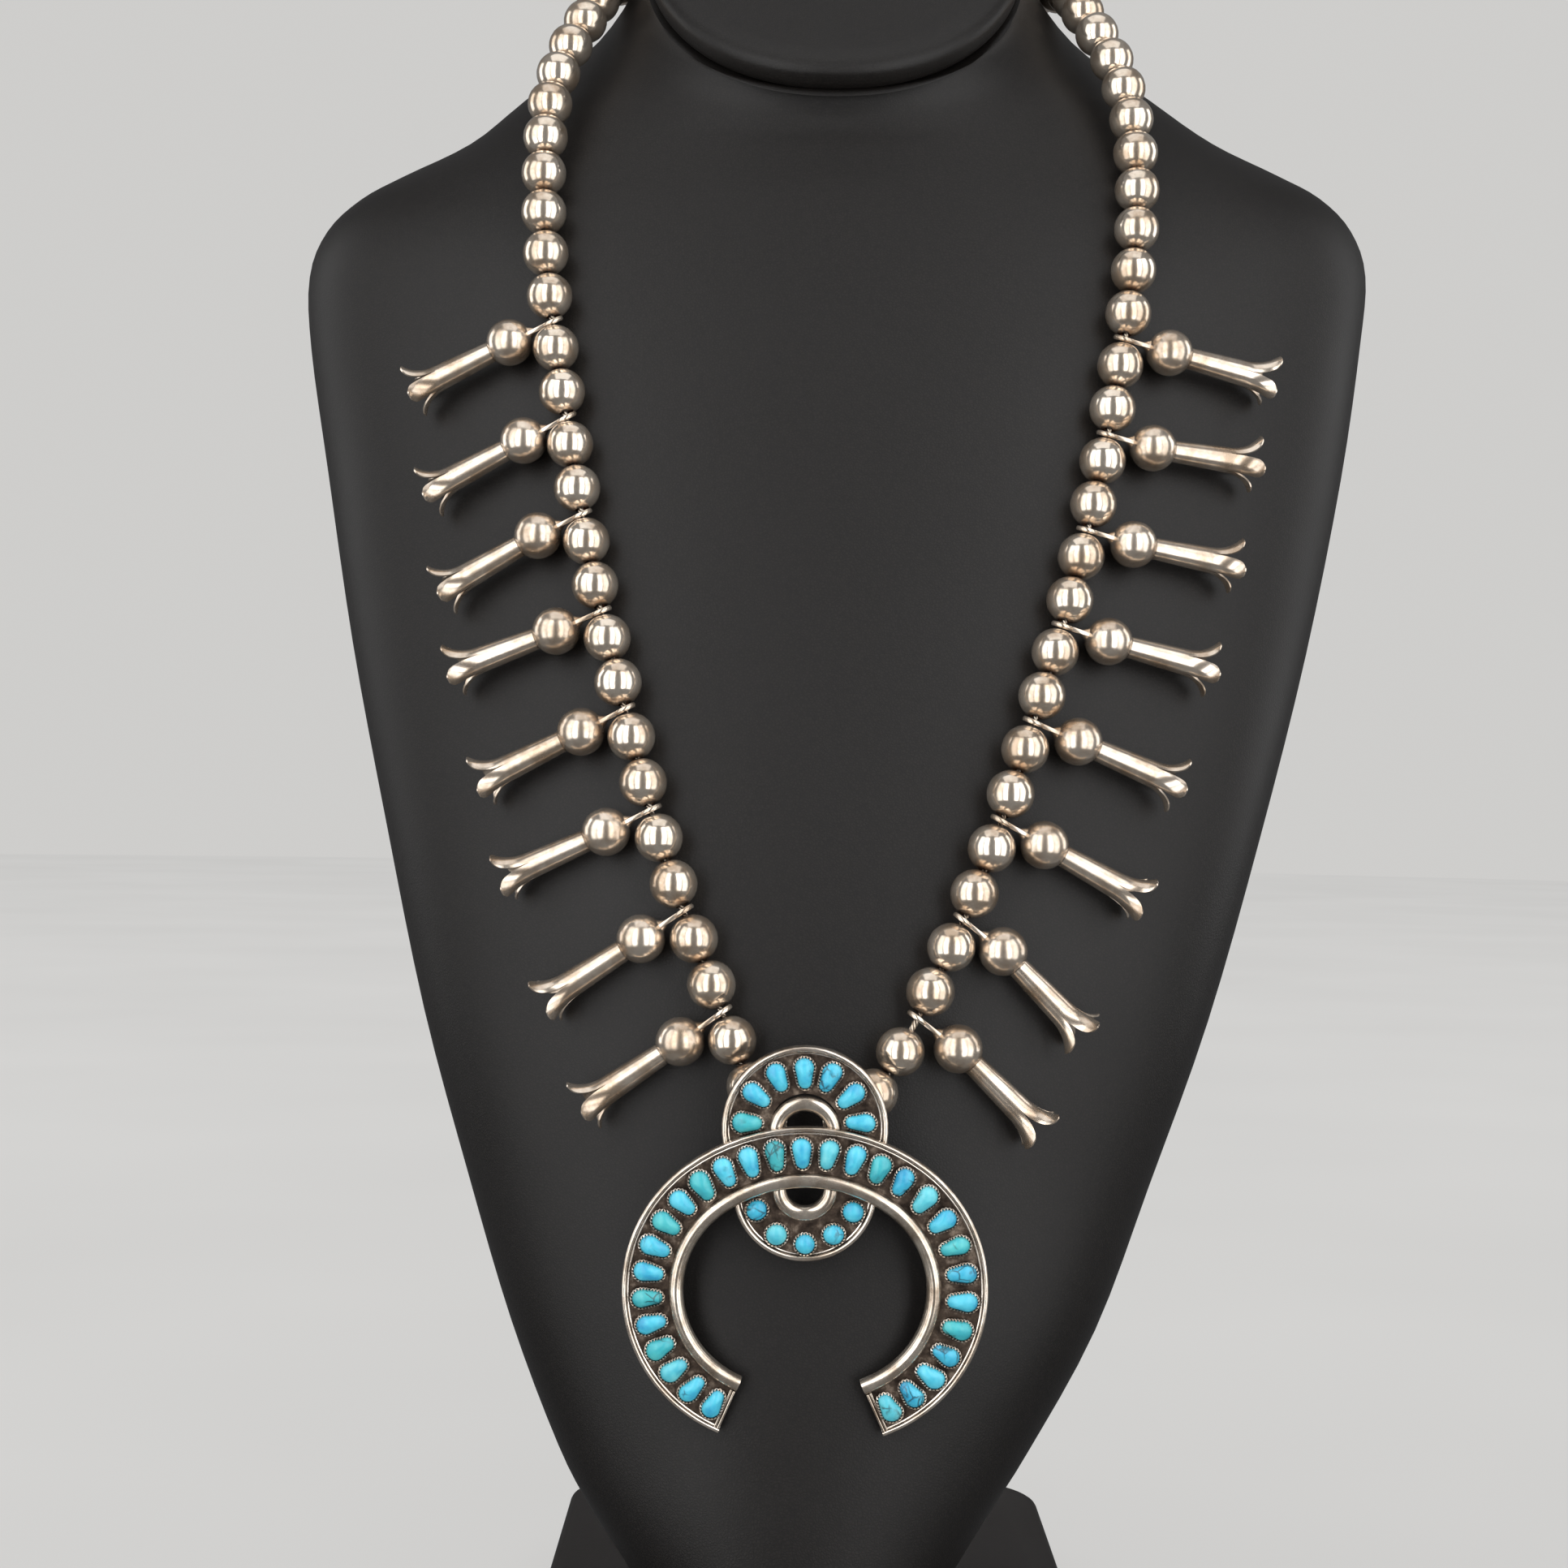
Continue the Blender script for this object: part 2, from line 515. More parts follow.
# A flat strip turned round the chain, soldered to the ball
def shankForm():
    b = blossom
    bm = bmesh.new()
    half = b["shankThick"] / 2
    outer = [(b["shank"] - 0.2 + 0.2 * cos(t), z) for t, z in
             ((-pi / 2, -half), (-pi / 4, 0.25 - half), (0, 0), (pi / 4, half - 0.25), (pi / 2, half))]
    corners = [bm.verts.new((r, 0, z)) for r, z in [(b["shankHole"], -half)] + outer + [(b["shankHole"], half)]]
    edges = [bm.edges.new((corners[i], corners[(i + 1) % len(corners)])) for i in range(len(corners))]
    bmesh.ops.spin(bm, geom=edges, cent=(0, 0, 0), axis=(0, 0, 1), angle=2 * pi, steps=28, use_merge=True)
    outwards(bm)
    bar = bmesh.new()
    bmesh.ops.create_cube(bar, size=1)
    bmesh.ops.scale(bar, vec=(4.7, 3.2, b["shankThick"]), verts=bar.verts[:])
    bmesh.ops.bevel(bar, geom=bar.edges[:], offset=0.15, offset_type="OFFSET", segments=2, profile=0.5, material=-1,
                    affect="EDGES")
    addTo(bm, bar, Matrix.Translation((3.8, 0, 0)))
    solder = bmesh.new()
    bmesh.ops.create_cone(solder, cap_ends=True, segments=20, radius1=1.6, radius2=0.5, depth=1.7)
    addTo(bm, solder, Matrix.Translation((4.95, 0, 0)) @ Matrix.Rotation(-pi / 2, 4, "Y"))
    return bm


def ballForm():
    bm = bmesh.new()
    bmesh.ops.create_uvsphere(bm, u_segments=32, v_segments=20, radius=blossom["ball"])
    for v in bm.verts:  # the soldered seam round the ball
        if abs(v.co.z) < 0.05:
            v.co.xy *= 0.994
    return bm


# One quarter of the stem and the broad petal it opens into, a tongue that keeps the tube's hollow and curls away
def petalForm(rng):
    b = blossom
    curl = radians(b["curl"]) * rng.uniform(0.93, 1.05)
    length, broad = b["petalLength"] * rng.uniform(0.96, 1.0), rng.uniform(0.97, 1.04)
    rows = 24
    ridge, share = [(b["mouth"], b["part"], 0)], 1 / (rows * 4)
    for k in range(rows * 4):
        a = curl * ((k + 0.5) * share) ** 1.3
        ridge.append((ridge[-1][0] + length * share * sin(a), ridge[-1][1] + length * share * cos(a),
                      curl * ((k + 1) * share) ** 1.3))
    bm = bmesh.new()
    bmesh.ops.create_grid(bm, x_segments=10, y_segments=rows + 8, size=1)
    for v in bm.verts:
        across, row = v.co.x, round((v.co.y + 1) / 2 * (rows + 8))
        if row <= 8:
            share = row / 8
            z = 4.5 + (b["part"] - 4.5) * share
            radius = b["stem"] + (b["mouth"] - b["stem"]) * share
            v.co = Vector((radius * cos(across * pi / 4), radius * sin(across * pi / 4), z))
            continue
        t = (row - 8) / rows
        u = 1 - (1 - t) ** 1.35
        r, z, a = ridge[round(u * rows * 4)]
        hollow = b["mouth"] * (1 + 0.25 * u)
        wide = b["mouth"] * pi / 4 * (1 + 0.1 * min(1, u / 0.5)) * (1 - (1 - broad + 0.04) * min(1, u * 6))
        if u > 0.6:
            wide *= (1 - (0.994 * (u - 0.6) / 0.4) ** 2.6) ** 0.5
        turn = across * wide / hollow
        inward = hollow * (1 - cos(turn))
        v.co = Vector((r - inward * cos(a), hollow * sin(turn), z + inward * sin(a)))
    return bm


def stemForm(rng):
    bm = bmesh.new()
    for k in range(4):
        addTo(bm, petalForm(rng), Matrix.Rotation(k * pi / 2, 4, "Z"))
    bmesh.ops.remove_doubles(bm, verts=bm.verts[:], dist=2e-3)
    bmesh.ops.recalc_face_normals(bm, faces=bm.faces[:])
    bmesh.ops.solidify(bm, geom=bm.faces[:], thickness=blossom["wall"])
    bmesh.ops.recalc_face_normals(bm, faces=bm.faces[:])
    collar = bmesh.new()
    bmesh.ops.create_circle(collar, segments=10, radius=0.34, cap_ends=False)
    bmesh.ops.rotate(collar, verts=collar.verts[:], cent=(0, 0, 0), matrix=Matrix.Rotation(pi / 2, 3, "X"))
    bmesh.ops.translate(collar, verts=collar.verts[:], vec=(blossom["stem"] + 0.06, 0, 4.85))
    bmesh.ops.spin(collar, geom=collar.edges[:], cent=(0, 0, 0), axis=(0, 0, 1), angle=2 * pi, steps=28, use_merge=True)
    outwards(collar)
    addTo(bm, collar, Matrix.Identity(4))
    return bm


# The shanks stand nearly edge on to the eye
eyeAt = Vector(cameraSet["place"])


# Direction out along the chest at so many degrees below level
def layAlong(start, side, fall, reach, off):
    x = start.x + side * reach * cos(radians(fall))
    z = start.z - reach * sin(radians(fall))
    return (Vector((x, chestY(x, z) - off, z)) - start).normalized()


def blossomPiece(side, i):
    b = blossom
    rng = Random(100 * side + i)
    fallShank, fallStem, spin = b["left" if side < 0 else "right"][i]
    j = route["below"] + 2 * i
    joint = joints[side][j]
    along = layAlong(joint, side, fallShank, b["reach"], 5.6)
    ball = joint + along * b["reach"]
    outward = layAlong(ball, side, fallStem, b["part"] + b["petal"] * 0.6, b["mouth"] + b["flare"] + 0.5)
    chainDir = (joints[side][j + 1] - joints[side][j - 1]).normalized()
    square = (chainDir - chainDir.dot(along) * along).normalized()
    edgeOn = along.cross(joint - eyeAt).normalized()
    face = (square + 9 * edgeOn * (1 if edgeOn.dot(square) > 0 else -1)).normalized()
    up = face.cross(along)
    bm = bmesh.new()
    addTo(bm, shankForm(), framed(joint, along, up, face))
    addTo(bm, ballForm(), aimed(ball, outward))
    addTo(bm, stemForm(rng), aimed(ball, outward, radians(spin)))
    name = "left" if side < 0 else "right"
    finishPiece(f"squash_blossom_{name}_{i + 1}", bm, [blossomSilver], [f"blossom_{name}_{i + 1}"],
                45)


for i in range(route["blossoms"]):
    blossomPiece(-1, i)
    blossomPiece(1, i)
print("blossoms hung")

# Naja
naja = {
    "width": 73.2, "band": 12.3, "plate": 1.1, "rod": 3.0, "wire": 1.0, "sideShift": 5, "topDrop": 6.8, "openHalf": 23.3,
    "rightRun": 1.8, "x": -2.35, "z": 99, "lean": 5.4, "roll": 1, "tip": -29, "stones": 29, "leftMargin": 3.16,
    "stoneStep": 5.28, "wideFrom": 18, "wideTo": 25, "wideExtra": 0.41, "rim": 1.4,
    "ringTop": (32.6, 16.6), "ringFoot": (20.1, 14.4), "holeTop": (31.8, 4.9), "holeFoot": (20.4, 4.3),
    "holeRod": 2.4, "holeSwell": 0.6,  # the rod's width, and how far it swells into the hole
    "ringZ": -1.6,
    "upper": [(-11.5, 33.9, 88), (-9.6, 39.4, 53), (-5.4, 43, 22), (-0.1, 43.9, 0), (4.9, 43, -22), (9.1, 39.2, -53),
              (11, 33.9, -88)],
    "lower": [(-9.6, 16.2), (-5.7, 11.2), (0, 9.3), (5.7, 11.2), (9.6, 15.8)],
}
halfTop = atan(naja["sideShift"] / naja["topDrop"])
sideOut = naja["width"] / 2 - naja["sideShift"]
sideIn = sideOut - naja["band"]
topRise = hypot(naja["sideShift"], naja["topDrop"])
openHalf = radians(naja["openHalf"])
sideSweep = pi - halfTop - openHalf
najaY = chestY(naja["x"], naja["z"] + naja["tip"]) - 0.3 - naja["plate"] + naja["tip"] * sin(radians(naja["lean"]))
onChest = (Matrix.Translation((naja["x"], najaY, naja["z"])) @ Matrix.Rotation(radians(-naja["roll"]), 4, "Y")
           @ Matrix.Rotation(radians(90 + naja["lean"]), 4, "X"))


# Carries an edge profile along arcs and straight runs, one after the other
def carried(profile, steps, closed):
    bm = bmesh.new()
    verts = [bm.verts.new(p) for p in profile]
    edges = [bm.edges.new((verts[i], verts[(i + 1) % len(verts)])) for i in range(len(verts))]
    geom = verts + edges
    for kind, a, b, n in steps:
        if kind == "arc":
            geom = bmesh.ops.spin(bm, geom=geom, cent=(a[0], a[1], 0), axis=(0, 0, 1), angle=b, steps=n)["geom_last"]
        else:
            made = bmesh.ops.extrude_edge_only(bm, edges=[g for g in geom if isinstance(g, bmesh.types.BMEdge)])["geom"]
            geom = [g for g in made if not isinstance(g, bmesh.types.BMFace)]
            fresh = [g for g in geom if isinstance(g, bmesh.types.BMVert)]
            bmesh.ops.translate(bm, vec=(a[0], a[1], 0), verts=fresh)
            geom = fresh + [g for g in geom if isinstance(g, bmesh.types.BMEdge) and all(v in fresh for v in g.verts)]
    bmesh.ops.remove_doubles(bm, verts=bm.verts[:], dist=2e-3)
    if not closed:
        bmesh.ops.holes_fill(bm, edges=[e for e in bm.edges if e.is_boundary], sides=0)
    bmesh.ops.recalc_face_normals(bm, faces=bm.faces[:])
    return bm


def arcProfile(middle, radius, low, high, n, squashZ=1.0):
    return [(middle + radius * cos(low + (high - low) * k / n), squashZ * radius * sin(low + (high - low) * k / n))
            for k in range(n + 1)]


# A section given as (distance out from the inner edge, height) goes round the crescent from its left tip
def alongCrescent(section):
    a = 3 * pi / 2 - openHalf
    profile = [Vector((-naja["sideShift"] + (sideIn + r) * cos(a), (sideIn + r) * sin(a), z)) for r, z in section]
    s = naja["sideShift"]
    run = (-naja["rightRun"] * cos(openHalf), -naja["rightRun"] * sin(openHalf))
    return carried(profile, [("arc", (-s, 0), -sideSweep, 40), ("arc", (0, -naja["topDrop"]), -2 * halfTop, 16),
                             ("arc", (s, 0), -sideSweep, 40), ("line", run, 0, 0)], False)


# The same round an egg shape with a wide top and a narrower foot
def alongEgg(section, top, foot, n=28):
    d, (yTop, rTop), (yFoot, rFoot) = top[0] - foot[0], top, foot
    tilt = asin((rFoot - rTop) / d)
    start = Vector((cos(tilt), sin(tilt), 0))
    other = Vector((-cos(tilt), sin(tilt), 0))
    profile = [Vector((0, yTop, 0)) + start * (rTop + r) + Vector((0, 0, z)) for r, z in section]
    line = Vector((0, yFoot - yTop, 0)) + other * (rFoot - rTop)
    home = Vector((0, yTop - yFoot, 0)) + start * (rTop - rFoot)
    return carried(profile, [("arc", (0, yTop), pi - 2 * tilt, n), ("line", line, 0, 0),
                             ("arc", (0, yFoot), pi + 2 * tilt, n), ("line", home, 0, 0)], True)


eggStone = {"length": 6.3, "width": 4.0, "narrow": 0.35, "rise": 2.0, "roundRadius": 2.1}


# Outline of a pear shape, broad end up, or of a round; each stone is cut a little differently
def stoneOutline(rng, rounded=False):
    broad, narrow = eggStone["width"] / 2, eggStone["width"] * eggStone["narrow"]
    yBroad, yNarrow = eggStone["length"] / 2 - broad, narrow - eggStone["length"] / 2
    flank = asin((broad - narrow) / (yBroad - yNarrow))
    slim, short, lean, turnBy = rng.uniform(0.94, 1.02), rng.uniform(0.94, 1.0), rng.uniform(-0.12, 0.12), rng.uniform(0, 6)
    wave = rng.uniform(0.0, 0.025)
    side = (yBroad - yNarrow) * cos(flank)
    runs = [(pi + 2 * flank) * broad, side, (pi - 2 * flank) * narrow, side]

    def at(a, grow):
        run = (a % (2 * pi)) / (2 * pi) * sum(runs)
        if rounded:
            t, r, y = a, eggStone["roundRadius"], 0
        elif run <= runs[0]:
            t, r, y = -flank + run / broad, broad, yBroad
        elif run <= runs[0] + runs[1]:
            share = (run - runs[0]) / side
            t, r, y = pi + flank, broad + (narrow - broad) * share, yBroad + (yNarrow - yBroad) * share
        elif run <= sum(runs[:3]):
            t, r, y = pi + flank + (run - runs[0] - side) / narrow, narrow, yNarrow
        else:
            share = (run - sum(runs[:3])) / side
            t, r, y = -flank, narrow + (broad - narrow) * share, yNarrow + (yBroad - yNarrow) * share
        edge = Vector((r * cos(t), y + r * sin(t), 0))
        edge *= 1 - wave * (1 + cos(2 * a + turnBy))
        edge = Vector((edge.x * slim + lean * edge.y * 0.5, edge.y * (short if not rounded else slim), 0))
        return edge + grow * Vector((cos(t), sin(t), 0))

    return at


# A strip of serrated silver round a stone, its teeth pressed over the edge
def bezelForm(outline, rng, teeth):
    bm = bmesh.new()
    count = teeth * 2
    start = bmesh.ops.create_circle(bm, segments=count, radius=1, cap_ends=False)["verts"]
    loop = list({e for v in start for e in v.link_edges})
    ring = start
    lean = [rng.uniform(-0.06, 0.06) for k in range(count)]
    tall = [rng.uniform(-0.1, 0.1) for k in range(count)]
    bright = []
    for level, (z, grow) in enumerate(((-0.15, 0.42), (0.75, 0.44), (1.15, 0.38), (1.5, 0.02))):
        if level:
            made = bmesh.ops.extrude_edge_only(bm, edges=loop)["geom"]
            fresh = [g for g in made if isinstance(g, bmesh.types.BMVert)]
            loop = [g for g in made if isinstance(g, bmesh.types.BMEdge) and all(v in fresh for v in g.verts)]
            bright = [g for g in made if isinstance(g, bmesh.types.BMFace)]
            ring = fresh
        for k, v in enumerate(ring):
            valley = k % 2 == 0
            place = outline(2 * pi * k / count, grow)
            height = z
            if level == 2 and valley:
                height, place = 0.76, outline(2 * pi * k / count, 0.5)
            if level == 3:
                height = 0.8 if valley else z + tall[k]
                place = outline(2 * pi * k / count, 0.46 if valley else grow + lean[k])
            v.co = (place.x, place.y, height)
    for f in bm.faces:
        f.material_index = 2 if f in bright else 1
    bmesh.ops.recalc_face_normals(bm, faces=bm.faces[:])
    bmesh.ops.solidify(bm, geom=bm.faces[:], thickness=0.2)
    bmesh.ops.recalc_face_normals(bm, faces=bm.faces[:])
    return bm


# A cabochon: a low dome on the outline, its girdle hidden in the bezel
def stoneForm(outline):
    bm = bmesh.new()
    bmesh.ops.create_uvsphere(bm, u_segments=40, v_segments=24, radius=1)
    bmesh.ops.bisect_plane(bm, geom=bm.verts[:] + bm.edges[:] + bm.faces[:], dist=1e-5, plane_co=(0, 0, 0),
                           plane_no=(0, 0, -1), clear_outer=True)
    rim = [e for e in bm.edges if e.is_boundary]
    made = bmesh.ops.extrude_edge_only(bm, edges=rim)["geom"]
    low = {g for g in made if isinstance(g, bmesh.types.BMVert)}
    bmesh.ops.holes_fill(bm, edges=[e for e in bm.edges if e.is_boundary], sides=0)
    for v in bm.verts:
        reach = min(1, hypot(v.co.x, v.co.y))
        place = outline(atan2(v.co.y, v.co.x), -0.02) * reach
        height = 0.15 if v in low else 0.9 + (eggStone["rise"] - 0.9) * (1 - reach ** 2.4)
        v.co = (place.x, place.y, height)
    bmesh.ops.recalc_face_normals(bm, faces=bm.faces[:])
    return bm


channelMid = naja["rod"] + (naja["band"] - naja["rod"] - naja["rim"]) / 2 + 0.2
sideR, topR = sideIn + channelMid, sideIn + channelMid + topRise
sideArc, topArc = sideR * sideSweep, topR * 2 * halfTop


# Seat of a crescent stone, counted from the left tip
def channelMatrix(i):
    late = min(naja["wideTo"], max(naja["wideFrom"], i)) - naja["wideFrom"]
    s = naja["leftMargin"] + i * naja["stoneStep"] + naja["wideExtra"] * late
    if s < sideArc:
        a, middle, r = 3 * pi / 2 - openHalf - s / sideR, (-naja["sideShift"], 0), sideR
    elif s < sideArc + topArc:
        a, middle, r = pi / 2 + halfTop - (s - sideArc) / topR, (0, -naja["topDrop"]), topR
    else:
        a, middle, r = pi / 2 - halfTop - (s - sideArc - topArc) / sideR, (naja["sideShift"], 0), sideR
    return Matrix.Translation((middle[0] + r * cos(a), middle[1] + r * sin(a), 0)) @ Matrix.Rotation(a - pi / 2, 4, "Z")


def ringMatrix(x, y, turnBy=0):
    return Matrix.Translation((x, y, naja["ringZ"])) @ Matrix.Rotation(radians(turnBy), 4, "Z")


def paint(bm, index):
    for f in bm.faces:
        f.material_index = index
    return bm


def wireSection(middle, height, radius, n=12):
    return [(middle + radius * cos(2 * pi * k / n), height + radius * sin(2 * pi * k / n)) for k in range(n)]


# The two thin wires that close a tip lie side by side, from the rod's end to the rim
def tipWires(bm, s):
    a = 3 * pi / 2 - openHalf if s < 0 else 3 * pi / 2 + openHalf
    run = naja["rightRun"] if s > 0 else 0
    length = naja["band"] - naja["rod"] - 0.3
    for inset, height in ((0.34, 0.75), (0.98, 0.55)):
        bar = bmesh.new()
        bmesh.ops.create_cube(bar, size=1)
        bmesh.ops.scale(bar, vec=(length, 0.56, height + naja["plate"]), verts=bar.verts[:])
        bmesh.ops.bevel(bar, geom=bar.edges[:], offset=0.2, offset_type="OFFSET", segments=3, profile=0.5, material=-1,
                        affect="EDGES")
        place = (Matrix.Translation((s * naja["sideShift"], 0, 0)) @ Matrix.Rotation(a, 4, "Z")
                 @ Matrix.Translation((sideIn + naja["rod"] + length / 2, s * (inset - run), (height - naja["plate"]) / 2)))
        addTo(bm, paint(bar, 0), place)


def najaPiece(outlines, ringOutlines):
    bm = bmesh.new()
    w, rod, wire, plate, z = naja["band"], naja["rod"], naja["wire"], naja["plate"], naja["ringZ"]
    here = Matrix.Identity(4)
    addTo(bm, paint(alongCrescent([(0.3, -plate), (w - 0.2, -plate), (w - 0.2, 0), (0.3, 0)]), 1), here)
    heavy = [(0, -plate + 0.1)] + [(rod - r, h * 0.95) for r, h in arcProfile(rod / 2, rod / 2, 0, pi, 12)]
    addTo(bm, paint(alongCrescent(heavy + [(rod, -plate + 0.1)]), 0), here)
    addTo(bm, paint(alongCrescent(wireSection(w - wire / 2, 0.35, wire / 2)), 3), here)
    addTo(bm, paint(alongCrescent(wireSection(w - wire - 0.22, 0.12, 0.24, 8)), 2), here)
    addTo(bm, paint(alongCrescent([(w - 0.25, -plate), (w, -plate), (w, 0.3), (w - 0.25, 0.3)]), 0), here)
    for s in (-1, 1):
        tipWires(bm, s)
    top, foot = naja["ringTop"], naja["ringFoot"]
    addTo(bm, paint(alongEgg([(-0.3, z - plate), (-0.3, z), (-9.6, z), (-9.6, z - plate)], top, foot), 1), here)
    addTo(bm, paint(alongEgg(wireSection(-0.55, z + 0.62, 0.55), top, foot), 3), here)
    addTo(bm, paint(alongEgg(wireSection(-1.3, z + 0.12, 0.24, 8), top, foot), 2), here)
    addTo(bm, paint(alongEgg([(-0.3, z - plate), (0, z - plate), (0, z + 0.6), (-0.3, z + 0.6)], top, foot), 0), here)
    low, high = -naja["holeSwell"], naja["holeRod"]  # the half round rod round the hole
    arc = arcProfile((low + high) / 2, (high - low) / 2, 0, pi, 12, 0.84)
    hole = [(low, z - plate)] + [(low + high - r, h + z) for r, h in arc] + [(high, z - plate)]
    addTo(bm, paint(alongEgg(hole, naja["holeTop"], naja["holeFoot"]), 0), here)
    for side in (-1, 1):  # two lugs behind for the foxtail
        lug = bmesh.new()
        profile = [lug.verts.new(p) for p in ((1.2, 0, -0.7), (2.7, 0, -0.7), (2.7, 0, 0.7), (1.2, 0, 0.7))]
        edges = [lug.edges.new((profile[i], profile[(i + 1) % 4])) for i in range(4)]
        bmesh.ops.spin(lug, geom=edges, cent=(0, 0, 0), axis=(0, 0, 1), angle=2 * pi, steps=24, use_merge=True)
        outwards(lug)
        stem = bmesh.new()
        bmesh.ops.create_cube(stem, size=1)
        bmesh.ops.scale(stem, vec=(5.4, 2.4, 1.8), verts=stem.verts[:])
        bmesh.ops.bevel(stem, geom=stem.edges[:], offset=0.7, offset_type="OFFSET", segments=4, profile=0.5, material=-1,
                        affect="EDGES")
        addTo(lug, stem, Matrix.Translation((4.0, 0, 0)))
        addTo(bm, paint(lug, 0), Matrix.Translation((side * 4.3, 31, -7.6)) @ Matrix.Rotation(-pi / 2, 4, "Y"))
    rng = Random(12)
    for i, outline in enumerate(outlines):
        addTo(bm, bezelForm(outline, rng, 26), channelMatrix(i))
    for outline, spot in zip(ringOutlines, naja["upper"] + naja["lower"]):
        addTo(bm, bezelForm(outline, rng, 26 if len(spot) > 2 else 21), ringMatrix(*spot))
    bm.transform(onChest)
    finishPiece("naja_silverwork", bm, [rodSilver, blackSilver, bezelSilver, rimSilver], ["naja"], 38)


cutRng = Random(31)
outlines = [stoneOutline(cutRng) for i in range(naja["stones"])]
ringOutlines = [stoneOutline(cutRng, len(spot) < 3) for spot in naja["upper"] + naja["lower"]]
najaPiece(outlines, ringOutlines)
print("naja soldered")

# Which stone has which colour, counted from the left tip; the rest are sky blue
tints = {3: paleStone, 4: greenStone, 6: mossStone, 9: greenStone, 11: greenStone, 14: mossStone, 16: paleStone,
         18: greenStone, 19: veinedStone, 20: paleStone, 22: greenStone, 23: veinedStone, 25: greenStone, 26: veinedStone,
         28: veinedStone, 29: paleStone}
for i, outline in enumerate(outlines):
    stone = stoneForm(outline)
    stone.transform(onChest @ channelMatrix(i))
    finishPiece(f"crescent_turquoise_{i + 1:02d}", stone, [tints.get(i + 1, skyStone)], [f"crescent_stone_{i + 1:02d}"],
                60)
ringSet = bmesh.new()
ringTints = [2, 0, 0, 0, 3, 0, 0, 3, 1, 0, 0, 0]
for outline, spot, tint in zip(ringOutlines, naja["upper"] + naja["lower"], ringTints):
    addTo(ringSet, paint(stoneForm(outline), tint), ringMatrix(*spot))
ringSet.transform(onChest)
finishPiece("ring_turquoise", ringSet, [skyStone, paleStone, greenStone, veinedStone], ["ring_stones"], 60)
print("stones set")

# Clasp behind the neck
claspSet = {"barrel": 1.2, "inset": 0.15, "ring": 1.9, "wire": 0.55, "apart": 3.2}  # mm


# A hook of one wire caught in a ring, on two short barrels
def claspPiece():
    a, b = joints[-1][-1], joints[1][-1]
    span = (b - a).length
    bm = bmesh.new()
    length = (span - claspSet["apart"]) / 2 - claspSet["ring"] - claspSet["inset"]  # each barrel ends in its ring's wire
    fromEnd = claspSet["inset"] + length / 2
    for at in (fromEnd, span - fromEnd):
        barrel = bmesh.new()
        bmesh.ops.create_cone(barrel, cap_ends=True, segments=20, radius1=claspSet["barrel"], radius2=claspSet["barrel"],
                              depth=length)
        bmesh.ops.bevel(barrel, geom=[e for e in barrel.edges if e.calc_face_angle(0) > 1], offset=0.3,
                        offset_type="OFFSET", segments=3, profile=0.5, material=-1, affect="EDGES")
        addTo(bm, barrel, aimed(a + (b - a).normalized() * at, b - a))
    middle = span / 2
    for at in (middle - claspSet["apart"] / 2, middle + claspSet["apart"] / 2):
        eyelet = bmesh.new()
        bmesh.ops.create_circle(eyelet, segments=8, radius=claspSet["wire"], cap_ends=False)
        bmesh.ops.rotate(eyelet, verts=eyelet.verts[:], cent=(0, 0, 0), matrix=Matrix.Rotation(pi / 2, 3, "X"))
        bmesh.ops.translate(eyelet, verts=eyelet.verts[:], vec=(claspSet["ring"], 0, 0))
        bmesh.ops.spin(eyelet, geom=eyelet.edges[:], cent=(0, 0, 0), axis=(0, 0, 1), angle=2 * pi, steps=20, use_merge=True)
        outwards(eyelet)
        flat = Matrix.Rotation(pi / 2, 4, "X" if at < middle else "Y")
        addTo(bm, eyelet, aimed(a + (b - a).normalized() * at, b - a) @ flat)
    finishPiece("hook_and_eye_clasp", bm, [rodSilver], ["clasp"], 50)


claspPiece()
print("clasp closed")

# Floor, backdrop and light
studio = {  # panel powers in watts, then brightnesses, then sizes in metres
    "inner": 5.2, "outer": 4.0, "side": 2.6, "top": 3.5, "ceiling": 90, "back": 100,
    "air": 0.15, "backdrop": 0.62, "glow": 0.74,
    "floorRadius": 6, "panelAway": 0.95, "panelHeight": 1.5,
}


# Pale lightbox floor: a soft even glow of its own, faint clouding, and a soft shadow under the foot
def glowingFloor():
    mat, place = newMaterial("pale lit acrylic floor")
    cloud = addNode(mat, "TexNoise", {"Vector": place, "Scale": 3.0, "Detail": 2})
    tone = ramp(mat, cloud.outputs["Fac"], [(0.3, "#dedddb"), (0.7, "#e2e1df")])
    shade = addNode(mat, "Mix", {"Factor": 0.8, "A": tone, "B": hexColour("#000000")}, data_type="RGBA")
    return finishMaterial(mat, **{"Base Color": shade.outputs["Result"], "Roughness": 0.8, "Emission Color": tone,
                                  "Emission Strength": studio["glow"]})


bm = bmesh.new()
bmesh.ops.create_circle(bm, cap_ends=True, segments=64, radius=studio["floorRadius"])
mesh = bpy.data.meshes.new("floor")
bm.to_mesh(mesh)
bm.free()
mesh.materials.append(glowingFloor())
floorDisc = bpy.data.objects.new("floor", mesh)
bpy.context.collection.objects.link(floorDisc)
floorDisc.visible_glossy = False

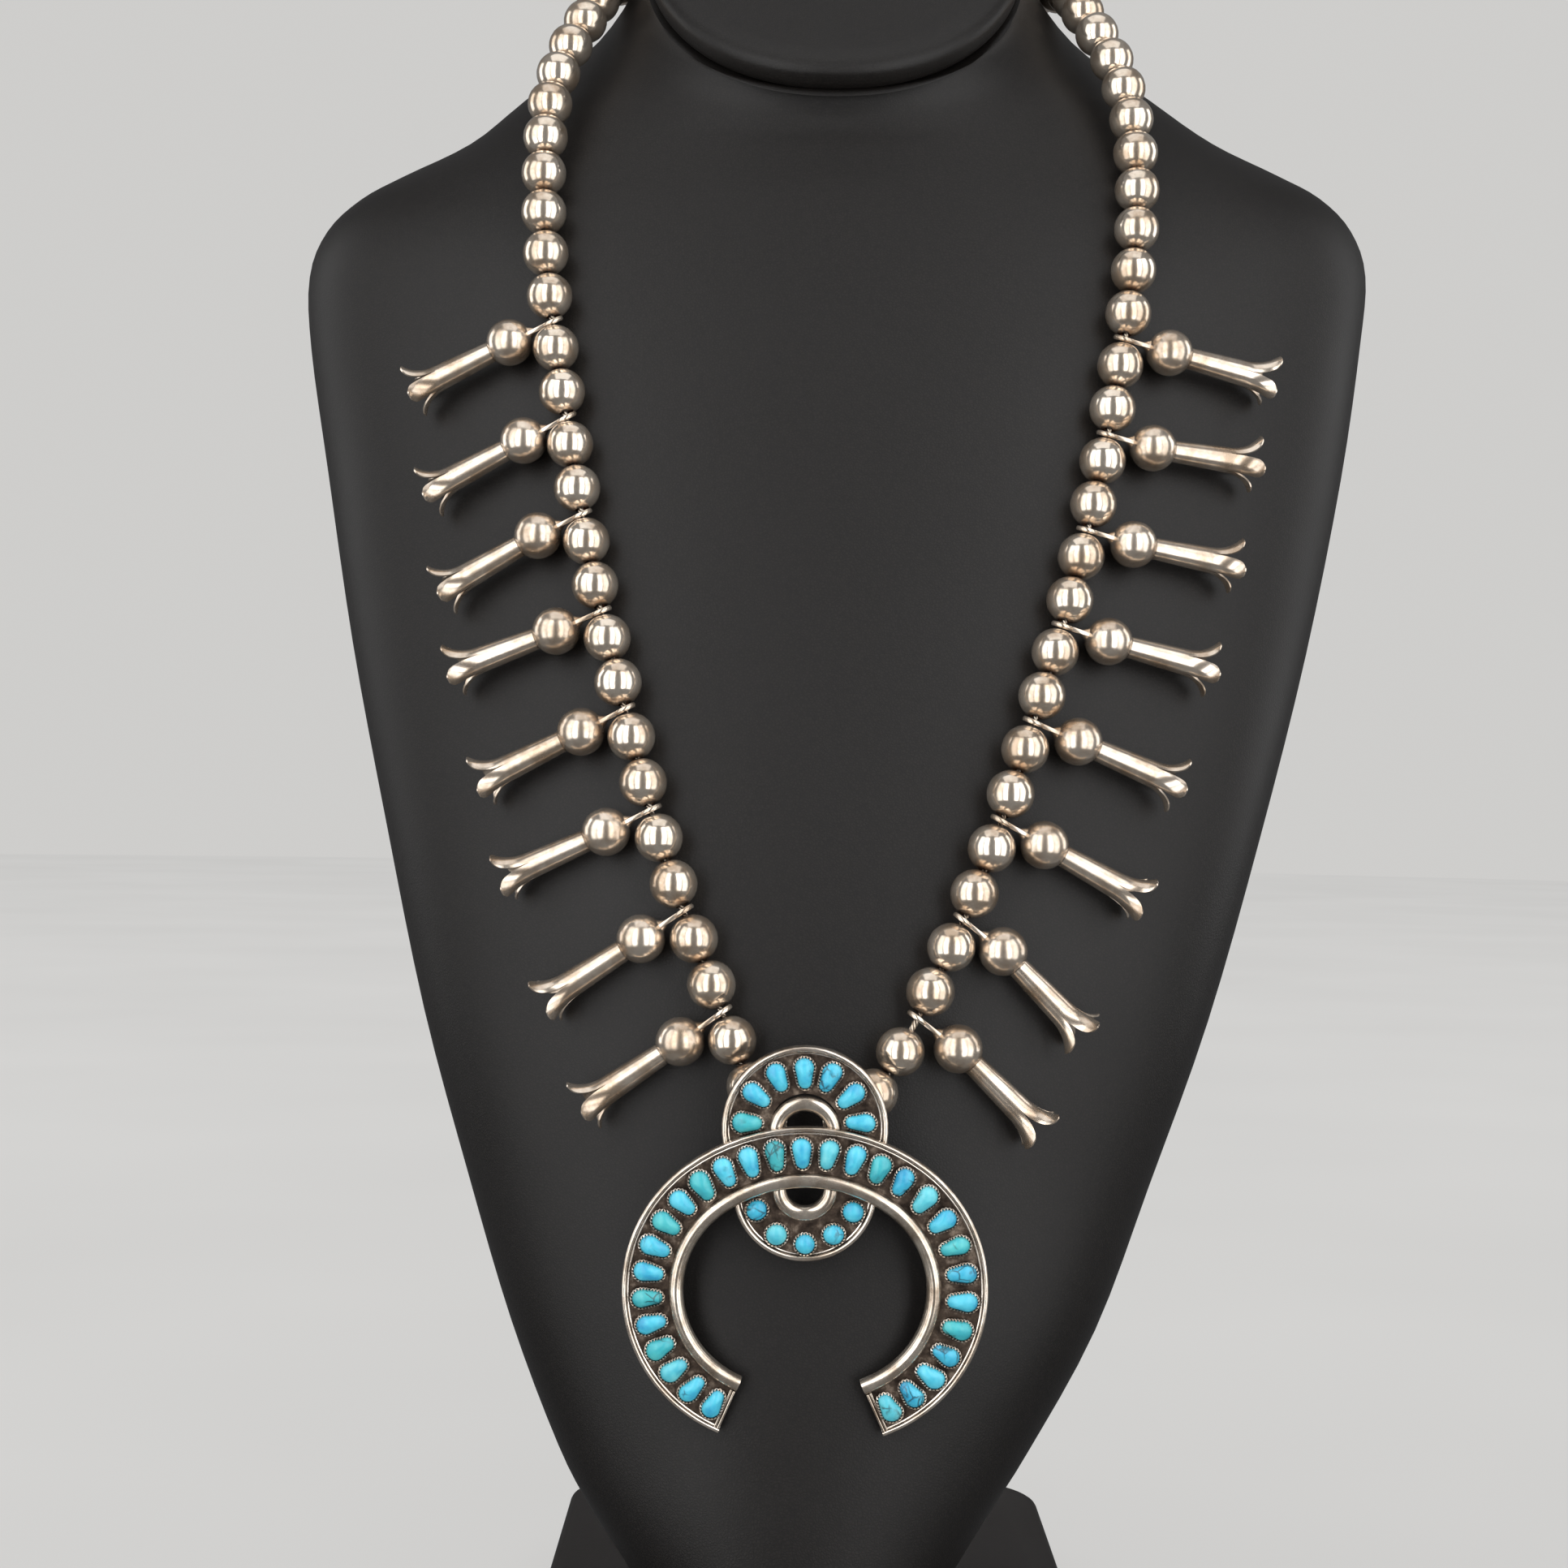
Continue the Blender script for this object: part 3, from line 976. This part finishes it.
# The panels light the object alone, so that no edge of theirs falls on the floor
offFloor = bpy.data.collections.new("kept off the floor")
offFloor.objects.link(floorDisc)
offFloor.collection_objects[0].light_linking.link_state = "EXCLUDE"


def softBox(name, place, target, width, height, power, shown=True, onFloor=False):
    light = bpy.data.lights.new(name, "AREA")
    light.shape = "RECTANGLE"
    light.size, light.size_y = width, height
    light.energy = power
    holder = bpy.data.objects.new(name, light)
    holder.visible_glossy = shown
    holder.visible_camera = False
    if not onFloor:
        holder.light_linking.receiver_collection = offFloor
    aim = (Vector(place) - Vector(target)).to_track_quat("Z", "Y").to_matrix().to_4x4()
    holder.matrix_world = Matrix.Translation(place) @ aim
    bpy.context.collection.objects.link(holder)


# Tall white panels stand on both sides of the camera; the gap between them shows dark in every bead
for side in (-1, 1):
    for name, angle, width, power in (("inner", 26, 0.36, studio["inner"]), ("outer", 55, 0.46, studio["outer"])):
        away = studio["panelAway"]
        place = (side * away * sin(radians(angle)), -away * cos(radians(angle)), 0.42)
        softBox(f"{name} panel {side}", place, (0, 0, 0.32), width, studio["panelHeight"], power)
    softBox(f"side panel {side}", (side * 1.05, 0.2, 0.5), (0, 0, 0.3), 0.4, 1.0, studio["side"])
softBox("panel above", (0, -0.25, 1.45), (0, 0, 0.2), 1.2, 1.0, studio["top"])
softBox("ceiling bounce", (0, 0, 2.8), (0, 0.001, 0), 6, 6, studio["ceiling"], False, True)
softBox("back fill", (0, 1.5, 0.9), (0, 0, 0.25), 2.0, 1.2, studio["back"], False)
world = bpy.data.worlds.new("studio air")
world.use_nodes = True
rays = world.node_tree.nodes.new("ShaderNodeLightPath")
air = world.node_tree.nodes.new("ShaderNodeMix")
air.data_type = "RGBA"
air.inputs["A"].default_value = (*[studio["air"] * c for c in (0.95, 0.97, 1)], 1)
air.inputs["B"].default_value = (*[studio["backdrop"] * c for c in (1, 0.99, 0.97)], 1)
world.node_tree.links.new(rays.outputs["Is Camera Ray"], air.inputs["Factor"])
world.node_tree.links.new(air.outputs["Result"], world.node_tree.nodes["Background"].inputs["Color"])
bpy.context.scene.world = world
bpy.context.scene.view_settings.view_transform = "Standard"
print("studio lit")
